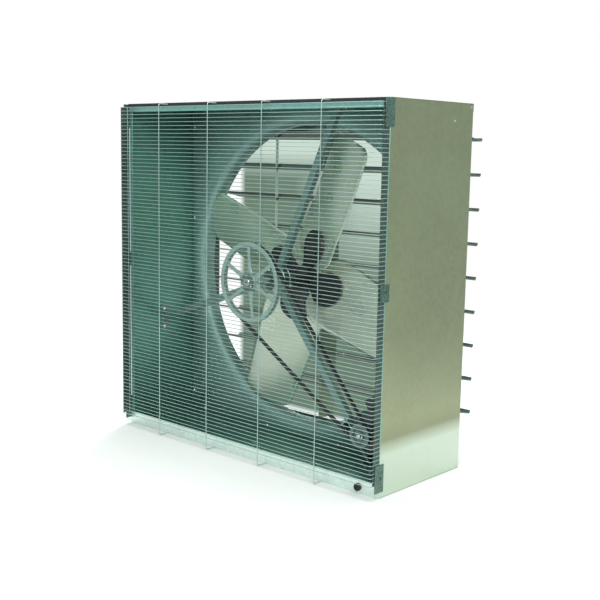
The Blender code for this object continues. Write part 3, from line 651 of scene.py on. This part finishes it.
def spider(centre):
    """The black hub: a turned boss and four flat arms bolted through the blades."""
    neck = 0.033
    head_r, head_at = ARM_ROUND, ARM_END_R - ARM_ROUND
    outline = [(-neck, 0.020), (neck, 0.020), (neck, 0.050)]
    outline += arc((0, head_at), head_r, -45, 225, 32) + [(-neck, 0.050)]
    arms = bmesh.new()
    bolts = bmesh.new()
    lift = BLADE_SHEET / 2 + 0.0003
    for i in range(BLADES):
        place = arm_place(centre, i)
        prism(arms, outline, ARM_THICKNESS, place @ Matrix.Translation((0, 0, lift)))
        top = lift + ARM_THICKNESS
        for x, y in ((-0.036, head_at - 0.012), (0.036, head_at - 0.012), (0.0, head_at + 0.040)):
            for z, toward in ((top, 1), (-BLADE_SHEET / 2, -1)):
                bolt(bolts, place @ Vector((x, y, z)), place.to_3x3() @ Vector((0, 0, toward)), 0.0065)
    piece("hub_arms", arms, FINISHES["propeller_spider"], "fan", bevel=0.0022, slot="propeller_spider")
    boss = bmesh.new()
    profile = [(BORE_R, -0.022), (0.043, -0.022), (0.046, -0.019), (0.046, 0.040)]
    profile += [(0.0445, 0.047), (0.036, 0.060), (0.033, 0.070), (0.030, 0.094), (0.028, 0.096),
                (BORE_R, 0.096)]
    lathe(boss, profile, 64, centre @ FORWARD)
    piece("hub_boss", boss, FINISHES["propeller_spider"], "fan", ["propeller_spider"])
    for i in range(2):
        turn = Matrix.Rotation(math.pi * i + 0.6, 4, "Y")
        outward = turn.to_3x3() @ Vector((0, 0, 1))
        bolt(bolts, centre @ turn @ Vector((0, -0.082, 0.031)), outward, 0.0045, False)
    piece("hub_bolts", bolts, FINISHES["propeller_spider"], "fan", slot="propeller_spider")


# ---------------------------------------------------------------- belt drive
def drive_middle():
    low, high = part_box("v_belt")
    return (low.y + high.y) / 2


def groove(outer_r, inner_r, half_width):
    """Section of a V-belt rim, with small lips broken at the corners."""
    depth, chamfer = BELT_DEPTH + 0.0045, 0.0008
    top, bottom = BELT_WIDTH / 2 + 0.0010, BELT_WIDTH / 2 - 0.0018
    side = [(inner_r, half_width - chamfer), (inner_r + chamfer, half_width),
            (outer_r - chamfer, half_width), (outer_r, half_width - chamfer),
            (outer_r, top), (outer_r - depth, bottom)]
    return side + [(r, -h) for r, h in reversed(side)]


def spoke(bm, place, start, end):
    """One cast spoke along local X: an oval that swells into the hub and the rim."""
    rings, steps = [], 14
    for k in range(steps + 1):
        t = k / steps
        swell = 1 + 0.9 * (1 - t) ** 5 + 0.9 * t ** 6
        wide, deep = (0.0084 - 0.0022 * t) * swell, (0.0052 - 0.0008 * t) * (1 + 0.35 * (swell - 1))
        x = start + (end - start) * t
        rings.append([bm.verts.new(place @ Vector((x, deep * math.sin(a), wide * math.cos(a))))
                      for a in (2 * math.pi * n / 16 for n in range(16))])
    ring_faces(bm, rings)
    bm.faces.new(rings[0])
    bm.faces.new(rings[-1][::-1])


def sheave():
    """The spoked driven sheave on its bushing."""
    centre = Matrix.Translation((0, drive_middle(), FAN.z))
    bm = bmesh.new()
    lathe(bm, groove(SHEAVE_R, SHEAVE_R - 0.0165, 0.0104), 144, centre @ FORWARD)
    hub = [(0.0243, -0.014), (0.0345, -0.014), (0.036, -0.0125), (0.0375, 0.0), (0.036, 0.0125),
           (0.0345, 0.014), (0.0243, 0.014)]
    lathe(bm, hub, 64, centre @ FORWARD)
    for i in range(SPOKES):
        turn = Matrix.Rotation(-(SPOKE_START + i * 2 * math.pi / SPOKES), 4, "Y")
        spoke(bm, centre @ turn, 0.033, SHEAVE_R - 0.0150)
    piece("sheave", bm, FINISHES["sheave_iron"], "fan", ["driven_sheave"])
    bush = bmesh.new()
    sleeve = [(BORE_R, -0.016), (0.0240, -0.016), (0.0240, 0.0145)]
    flange = [(0.0325, 0.0145), (0.033, 0.0150), (0.033, 0.0190), (0.0325, 0.0195)]
    lathe(bush, sleeve + flange + [(BORE_R + 0.001, 0.0195), (BORE_R, 0.0185)], 64, centre @ FORWARD)
    piece("bushing", bush, FINISHES["bearing_iron"], "fan", ["sheave_bushing"], slot="bright_steel")
    bolts = bmesh.new()
    for i in range(3):
        a = math.radians(90 + 120 * i)
        at = centre @ Vector((0.0265 * math.cos(a), -0.0195, 0.0265 * math.sin(a)))
        bolt(bolts, at, (0, -1, 0), 0.0042, False, 0.003)
    piece("bushing_bolts", bolts, FINISHES["zinc_bolts"], "fan", slot="bright_steel")


def shafts():
    low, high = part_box("fan_shaft")
    length, chamfer = high.y - low.y, 0.0015
    dimple = 0.004
    profile = [(dimple, length - dimple), (dimple, length), (SHAFT_R - chamfer, length),
               (SHAFT_R, length - chamfer), (SHAFT_R, chamfer), (SHAFT_R - chamfer, 0.0),
               (dimple, 0.0), (dimple, dimple)]
    bm = bmesh.new()
    lathe(bm, profile, 48, Matrix.Translation((0, high.y, FAN.z)) @ FORWARD)
    piece("drive_shaft", bm, FINISHES["bright_steel"], "fan", ["fan_shaft"])
    low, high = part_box("motor_shaft")
    length, radius = high.y - low.y, (high.x - low.x) / 2
    profile = [(0.001, length), (radius - 0.001, length), (radius, length - 0.001), (radius, 0.001),
               (radius - 0.001, 0.0), (0.001, 0.0)]
    bm = bmesh.new()
    lathe(bm, profile, 32, Matrix.Translation((MOTOR.x, high.y, MOTOR.z)) @ FORWARD)
    piece("rotor_shaft", bm, FINISHES["bright_steel"], "motor_drive", ["motor_shaft"])


def belt():
    """The V-belt, round both sheaves, with its top cord line proud of the sides."""
    big, small = SHEAVE_R - BELT_SUNK, PULLEY_R - BELT_SUNK
    reach = Vector((MOTOR.x - FAN.x, MOTOR.z - FAN.z))
    heading = math.degrees(math.atan2(reach.y, reach.x))
    lean = math.degrees(math.acos((big - small) / reach.length))
    outline = arc((0, 0), big, heading + lean, heading + 360 - lean, 110)
    outline += arc((reach.x, reach.y), small, heading - lean, heading + lean, 40)
    path = [Vector((x, drive_middle(), FAN.z + z)) for x, z in outline]
    half, low, deep = BELT_WIDTH / 2 - 0.0002, BELT_WIDTH / 2 - 0.0032, BELT_DEPTH / 2 - 0.0002
    section = [(-deep, low - 0.001), (-deep + 0.0008, low), (deep - 0.0020, half), (deep - 0.0006, half),
               (deep, half - 0.0008)]
    section += [(s, -a) for s, a in reversed(section)]
    bm = bmesh.new()
    sweep(bm, path, [(-s, a) for s, a in section], (0, -1, 0), closed=True)
    piece("drive_belt", bm, FINISHES["black_rubber"], "cabinet", ["v_belt"], angle=30)


def motor_pulley():
    """The small pulley: a solid web between its hub and its rim."""
    bm = bmesh.new()
    place = Matrix.Translation((MOTOR.x, drive_middle(), MOTOR.z)) @ FORWARD
    rim = groove(PULLEY_R, 0.0310, 0.012)
    web = [(0.0083, 0.0115), (0.0088, 0.012), (0.0165, 0.012), (0.0185, 0.0045), (0.0295, 0.0040)]
    side = web + rim[:len(rim) // 2]
    lathe(bm, side + [(r, -h) for r, h in reversed(side)], 72, place)
    piece("small_pulley", bm, FINISHES["bearing_iron"], "motor_drive", ["motor_pulley"])
    screw = bmesh.new()
    bolt(screw, (MOTOR.x + 0.0128, drive_middle() - 0.012, MOTOR.z), (0, -1, 0), 0.003, False, 0.0015)
    piece("pulley_screw", screw, FINISHES["zinc_bolts"], "motor_drive", slot="bright_steel")


# ---------------------------------------------------------------- motor
def motor():
    low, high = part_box("motor_stator")
    middle_y = (low.y + high.y) / 2
    front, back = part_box("motor_front_bell")[0].y + 0.020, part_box("motor_rear_bell")[1].y - 0.020
    middle = Matrix.Translation((MOTOR.x, middle_y, MOTOR.z))
    half, radius, ribs = (back - front) / 2, MOTOR_R, 36
    bm = bmesh.new()
    outer = []
    for i in range(ribs):
        a = 360 / ribs * i
        for offset, r in ((-2.2, radius - 0.0022), (-1.2, radius - 0.0002), (1.2, radius - 0.0002),
                          (2.2, radius - 0.0022)):
            angle = math.radians(a + offset)
            outer.append((r * math.cos(angle), r * math.sin(angle)))
    inner = disc(radius - 0.0040, len(outer), math.radians(-2.2))
    place = middle @ FORWARD
    loops = [[bm.verts.new(place @ Vector((x, y, h))) for x, y in points]
             for points, h in ((outer, -half), (outer, half), (inner, half), (inner, -half))]
    ring_faces(bm, loops + loops[:1])
    strut_turn = Matrix.Rotation(-math.radians(STRUT_ANGLES["strut_motor"] - 90), 4, "Y")
    for y in (-0.058, 0.058):
        block(bm, (radius - 0.0045, y - 0.014, -0.062), (0.0888, y + 0.014, 0.062), middle @ strut_turn)
    piece("motor_frame", bm, FINISHES["motor_paint"], "cabinet", ["motor_shell"], bevel=0.0004)
    for name, at, turn in (("front", front, FORWARD), ("rear", back, BACKWARD)):
        bm = bmesh.new()
        profile = [(0.0190, 0.004), (0.0190, 0.0195), (0.0300, 0.0195), (0.0340, 0.0180)]
        profile += [(0.0600, 0.0148), (0.0700, 0.0125), (0.0785, 0.0075)]
        profile += [(radius, 0.0030), (radius, 0.0003)]
        profile += [(radius - 0.0044, 0.0003), (radius - 0.0044, -0.012), (radius - 0.012, -0.012)]
        place = Matrix.Translation((MOTOR.x, at, MOTOR.z)) @ turn
        lathe(bm, profile, 64, place)
        piece(f"motor_{name}_end", bm, FINISHES["motor_paint"], "cabinet", [f"motor_{name}_bell"])
        bm = bmesh.new()
        for i in range(4):
            a = math.radians(45 + 90 * i)
            at_bolt = place @ Vector((0.066 * math.cos(a), 0.066 * math.sin(a), 0.0130))
            bolt(bm, at_bolt, place.to_3x3() @ Vector((0, 0, 1)), 0.0040)
        piece(f"motor_{name}_bolts", bm, FINISHES["zinc_bolts"], "cabinet", slot="bright_steel")
    box_turn = Matrix.Rotation(math.radians(-28), 4, "Y")
    bm = bmesh.new()
    base = radius + 0.0003
    block(bm, (-0.026, -0.036, base), (0.026, 0.036, base + 0.0345), middle @ box_turn)
    block(bm, (-0.0258, -0.0358, base + 0.0350), (0.0258, 0.0358, base + 0.0377), middle @ box_turn)
    piece("conduit_box", bm, FINISHES["motor_paint"], "cabinet", ["motor_conduit_box"], bevel=0.0012)
    bm = bmesh.new()
    outward = box_turn.to_3x3() @ Vector((0, 0, 1))
    for x, y in ((-0.020, -0.030), (0.020, 0.030)):
        pan_screw(bm, middle @ box_turn @ Vector((x, y, base + 0.0377)), outward, 0.0035)
    piece("conduit_screws", bm, FINISHES["zinc_bolts"], "cabinet", slot="bright_steel")
    softened("motor_bracket", FINISHES["galvanised_sheet"], 0.0008)
    for node in ("motor_stator", "motor_rotor"):
        data = frame["nodes"][node].data
        data.materials.clear()
        data.materials.append(FINISHES["motor_core"].material)


# ---------------------------------------------------------------- struts and bearings
def struts_and_bearings():
    for name in STRUT_ANGLES:
        softened(name, FINISHES["strut_sheet"], 0.0006)
    bolts = bmesh.new()
    for name in ("bearing_plate_front", "bearing_plate_rear"):
        low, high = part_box(name)
        outer, thick = (high.x - low.x) / 2, high.y - low.y
        bm = bmesh.new()
        profile = [(0.0240, 0.0), (outer - 0.0008, 0.0), (outer, 0.0008), (outer, thick - 0.0008),
                   (outer - 0.0008, thick), (0.0240, thick)]
        lathe(bm, profile, 72, Matrix.Translation((0, high.y, FAN.z)) @ FORWARD)
        piece(name + "_turned", bm, FINISHES["galvanised_sheet"], "cabinet", [name])
    for name, turn, toward in (("bearing_front", FORWARD, -1), ("bearing_rear", BACKWARD, 1)):
        low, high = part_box(name)
        seat = high.y if toward < 0 else low.y
        place = Matrix.Translation((0, seat, FAN.z)) @ turn
        profile = [(BORE_R, 0.0), (0.046, 0.0), (0.047, 0.001), (0.047, 0.009), (0.045, 0.011)]
        profile += [(0.036, 0.0125), (0.033, 0.016), (0.0305, 0.0225), (0.0285, 0.0240)]
        profile += [(0.0235, 0.0240), (0.0225, 0.0215), (0.0195, 0.0215), (0.0190, 0.030)]
        profile += [(BORE_R, 0.030)]
        bm = bmesh.new()
        lathe(bm, profile, 72, place)
        piece(name + "_turned", bm, FINISHES["bearing_iron"], "cabinet", [name])
        for i in range(4):
            a = math.radians(20 + 90 * i)
            at = place @ Vector((0.0400 * math.cos(a), 0.0400 * math.sin(a), 0.0112))
            bolt(bolts, at, (0, toward, 0), 0.0048, True)
    feet = {"strut_upper": (0, 0, -1), "strut_left": (1, 0, 0), "strut_motor": (0, 0, 1)}
    for name, away in feet.items():
        low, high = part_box(name)
        normal = Vector(away)
        angle = math.radians(STRUT_ANGLES[name])
        along = Vector((math.cos(angle), 0, math.sin(angle)))
        wall = min(HALF / max(abs(along.x), 1e-6), HALF / max(abs(along.z), 1e-6))
        foot = Vector((0, low.y + 0.017, FAN.z)) + along * wall
        reached = abs((foot - Vector((0, foot.y, FAN.z))).dot(normal))
        foot += normal * (SHEET + 0.0003 + 0.004 - reached + HALF)
        spread = Vector((1, 0, 0)) if normal.z else Vector((0, 0, 1))
        for offset in (-0.040, 0.040):
            bolt(bolts, foot + spread * offset, away, 0.0055)
    piece("support_bolts", bolts, FINISHES["zinc_bolts"], "cabinet", slot="bright_steel")


# ---------------------------------------------------------------- shutter
def louver_profile():
    """Section of a louver in its own frame, (y, z): a rolled root, a flat blade and a curled lip."""
    flat, lip, hem = LOUVER_CHORD - 0.010, 0.0058, 0.0030
    centre = (flat, 0.0015 + hem + lip)
    under = [(-0.005, 0.0015), (flat * 0.5, 0.0022)]
    outside = arc(centre, lip + hem, -90, 40, 9)
    inside = arc(centre, lip, 40, -90, 9)
    top = [(flat - 0.006, 0.0015 + LOUVER_SHEET), (flat * 0.5, 0.0022 + LOUVER_SHEET),
           (-0.005, 0.0015 + LOUVER_SHEET)]
    return under + outside + inside + top


def shutter():
    length = LOUVER_HALF - MULLION_GAP - 0.0005
    side_plane = Matrix(((0, 0, 1, 0), (1, 0, 0, 0), (0, 1, 0, 0), (0, 0, 0, 1)))
    section = louver_profile()
    tilt = LOUVER_DROOP + ARM_ANGLE
    pin = Vector((0, -ARM_LENGTH * math.cos(tilt), -ARM_LENGTH * math.sin(tilt)))
    swing = math.degrees(math.atan2(pin.z, pin.y))
    arm = arc((0, 0), ARM_END_ROUND, swing + 90, swing + 270, 8)
    arm += arc((pin.y, pin.z), ARM_END_ROUND, swing - 90, swing + 90, 8)
    for i in range(1, 10):
        place = Matrix.Translation(PIVOTS[f"louver_{i}_hinge"]) @ Matrix.Rotation(-LOUVER_DROOP, 4, "X")
        bm = bmesh.new()
        for start in (MULLION_GAP + 0.0002, -LOUVER_HALF + 0.0002):
            prism(bm, section, length, place @ Matrix.Translation((start, 0, 0)) @ side_plane)
        upward = place.to_3x3() @ Vector((0, 0, 1))
        rod_ends = [place @ Vector((side * (LOUVER_HALF + ROD_PAST_BLADE), 0, 0)) for side in (-1, 1)]
        sweep(bm, rod_ends, disc(0.0029, 12), upward)
        for arm_x in ARMS_X:
            prism(bm, arm, 0.002, place @ Matrix.Translation((arm_x - 0.001, 0, 0)) @ side_plane)
            ends = [pin + Vector((arm_x + math.copysign(x, arm_x), 0, 0)) for x in (-0.0008, 0.0050)]
            sweep(bm, [place @ end for end in ends], disc(0.0024, 12), upward)
        piece(f"shutter_blade_{i}", bm, FINISHES["shutter_aluminium"], f"louver_{i}", [f"louver_{i}"],
              angle=28)
    for side in ("left", "right"):
        softened("tie_bar_" + side, FINISHES["tie_bar_strip"], 0.0003)
        softened("shutter_jamb_" + side, FINISHES["shutter_aluminium"], 0.0004)
    softened("shutter_mullion", FINISHES["divider_sheet"], 0.0004)
    softened("shutter_panel", FINISHES["galvanised_sheet"], 0.0003)
    rivets = bmesh.new()
    for side in (-1, 1):
        for z in (0.020, 0.350, 0.686, 1.022, 1.352):
            pan_screw(rivets, (side * (HALF - 0.022), BACK - 0.0023, z), (0, 1, 0), 0.0045)
        for x in (0.16, 0.48):
            for z in (0.020, SIZE - 0.020):
                pan_screw(rivets, (side * x, BACK, z), (0, 1, 0), 0.0045)
    piece("flange_screws", rivets, FINISHES["zinc_bolts"], "cabinet")


# ---------------------------------------------------------------- studio
CAMERA_PLACE = Vector((2.6765, FRONT - 2.6185, 1.1936))
CAMERA_YAW, CAMERA_PITCH, CAMERA_ROLL = -0.7366, -0.1510, 0.0184
CAMERA_LENS, CAMERA_SENSOR = 59.08, 36
CARD_HALF = Vector((0.605, 0, 0.615))
CARD_MIDDLE = Vector((-0.055, 0, 0.635))
CARD_GAP = 0.129


def camera():
    data = bpy.data.cameras.new("camera")
    data.lens = CAMERA_LENS
    data.sensor_width = CAMERA_SENSOR
    made = bpy.data.objects.new("camera", data)
    bpy.context.scene.collection.objects.link(made)
    level = math.cos(CAMERA_PITCH)
    ahead = Vector((math.sin(CAMERA_YAW) * level, math.cos(CAMERA_YAW) * level, math.sin(CAMERA_PITCH)))
    right = Vector((math.cos(CAMERA_YAW), -math.sin(CAMERA_YAW), 0))
    up = right.cross(ahead)
    c, s = math.cos(CAMERA_ROLL), math.sin(CAMERA_ROLL)
    axes = Matrix((right * c + up * s, up * c - right * s, -ahead)).transposed().to_4x4()
    made.matrix_world = Matrix.Translation(CAMERA_PLACE) @ axes
    bpy.context.scene.camera = made


def soft_light(name, at, target, width, height, watts, colour=(1, 1, 1)):
    data = bpy.data.lights.new(name, "AREA")
    data.shape = "RECTANGLE"
    data.size = width
    data.size_y = height
    data.energy = watts
    data.color = colour
    made = bpy.data.objects.new(name, data)
    bpy.context.scene.collection.objects.link(made)
    made.location = at
    made.rotation_euler = (Vector(target) - Vector(at)).to_track_quat("-Z", "Y").to_euler()


def world():
    """A plain white studio: pale for the eye, softer where it only lights the fan."""
    made = bpy.data.worlds.new("studio")
    bpy.context.scene.world = made
    made.use_nodes = True
    tree = made.node_tree
    seen = tree.nodes["Background"]
    seen.inputs["Color"].default_value = (1.0, 1.0, 1.0, 1)
    seen.inputs["Strength"].default_value = 1.0
    lighting = tree.nodes.new("ShaderNodeBackground")
    lighting.inputs["Color"].default_value = (0.86, 1.0, 0.97, 1)
    lighting.inputs["Strength"].default_value = 0.60
    path = tree.nodes.new("ShaderNodeLightPath")
    mix = tree.nodes.new("ShaderNodeMixShader")
    tree.links.new(path.outputs["Is Camera Ray"], mix.inputs["Fac"])
    tree.links.new(lighting.outputs["Background"], mix.inputs[1])
    tree.links.new(seen.outputs["Background"], mix.inputs[2])
    tree.links.new(mix.outputs["Shader"], tree.nodes["World Output"].inputs["Surface"])


def floor():
    """A wide pale disc that fades out into the white of the studio."""
    finish = Finish("studio_floor", 0.0, 0.7)
    finish.shader.inputs["Specular IOR Level"].default_value = 0.1
    grain = finish.noise(1.2, 2.0)
    finish.colour(finish.blend(grain, (0.90, 0.90, 0.89), (0.93, 0.93, 0.92)))
    tree = finish.tree
    away = tree.nodes.new("ShaderNodeVectorMath")
    away.operation = "LENGTH"
    finish.link(finish.place, away.inputs[0])
    fade = finish.span(away.outputs["Value"], 1.2, 3.4)
    clear = tree.nodes.new("ShaderNodeBsdfTransparent")
    mix = tree.nodes.new("ShaderNodeMixShader")
    finish.link(fade, mix.inputs["Fac"])
    finish.link(finish.shader.outputs["BSDF"], mix.inputs[1])
    finish.link(clear.outputs["BSDF"], mix.inputs[2])
    finish.link(mix.outputs["Shader"], tree.nodes["Material Output"].inputs["Surface"])
    bm = bmesh.new()
    bmesh.ops.create_circle(bm, cap_ends=True, segments=96, radius=6.0)
    mesh = bpy.data.meshes.new("floor")
    bm.to_mesh(mesh)
    bm.free()
    mesh.materials.append(finish.material)
    made = bpy.data.objects.new("floor", mesh)
    made.location = (0, 0, -0.0005)
    bpy.context.scene.collection.objects.link(made)


def glowing_shade_card():
    """A soft grey-green card behind the shutter that glows, seen only from the front and casting nothing:
    painted shade for the shaded floor seen through the shutter.

    It is paler toward the upper right, painted light for the lit background there, and fades out at its
    edges."""
    finish = Finish("painted_shade_card_finish", 0.0, 0.9)
    tree = finish.tree
    split = tree.nodes.new("ShaderNodeSeparateXYZ")
    finish.link(finish.place, split.inputs["Vector"])
    across, up = split.outputs["X"], split.outputs["Z"]
    right = finish.sum(finish.span(across, -0.26, 0.12), finish.span(up, 0.01, 0.45), "MULTIPLY")
    pale = finish.sum(right, finish.span(up, 0.43, 0.55), "MAXIMUM")
    glow = tree.nodes.new("ShaderNodeEmission")
    # painted shade and painted light: the glowing colour stands for the shaded floor and the lit
    # background seen through the fan
    finish.link(finish.blend(pale, (0.150, 0.225, 0.165), (0.60, 0.72, 0.63)), glow.inputs["Color"])
    clear = tree.nodes.new("ShaderNodeBsdfTransparent")
    behind = tree.nodes.new("ShaderNodeNewGeometry").outputs["Backfacing"]
    edge_x = finish.span(finish.sum(across, None, "ABSOLUTE"), CARD_HALF.x * 0.94, CARD_HALF.x)
    edge_z = finish.span(finish.sum(up, None, "ABSOLUTE"), CARD_HALF.z * 0.97, CARD_HALF.z)
    hidden = finish.sum(finish.sum(edge_x, edge_z, "MAXIMUM"), behind, "MAXIMUM")
    mix = tree.nodes.new("ShaderNodeMixShader")
    finish.link(hidden, mix.inputs["Fac"])
    finish.link(glow.outputs["Emission"], mix.inputs[1])
    finish.link(clear.outputs["BSDF"], mix.inputs[2])
    finish.link(mix.outputs["Shader"], tree.nodes["Material Output"].inputs["Surface"])
    bm = bmesh.new()
    corners = ((-1, -1), (1, -1), (1, 1), (-1, 1))
    bm.faces.new([bm.verts.new((CARD_HALF.x * x, 0, CARD_HALF.z * z)) for x, z in corners])
    mesh = bpy.data.meshes.new("card")
    bm.to_mesh(mesh)
    bm.free()
    mesh.materials.append(finish.material)
    made = bpy.data.objects.new("card", mesh)
    made.location = CARD_MIDDLE + Vector((0, BACK + CARD_GAP, 0))
    made.visible_shadow = made.visible_diffuse = made.visible_glossy = False
    bpy.context.scene.collection.objects.link(made)


def studio():
    camera()
    world()
    floor()
    # painted shade: a glowing card seen through the shutter
    glowing_shade_card()
    soft_light("key", (3.2, -3.4, 3.6), (0, 0, 0.7), 2.4, 2.4, 180, (1.0, 0.99, 0.95))
    soft_light("overhead", (0.0, 0.2, 4.2), (0, 0, 0.5), 3.5, 3.5, 120)
    soft_light("rear", (-2.6, 3.6, 2.6), (0, 0.2, 0.7), 2.0, 2.0, 110)
    settings = bpy.context.scene.view_settings
    settings.view_transform = "Standard"
    settings.look = "None"


cabinet()
orifice()
guard()
propeller()
sheave()
shafts()
belt()
motor_pulley()
motor()
struts_and_bearings()
shutter()
studio()
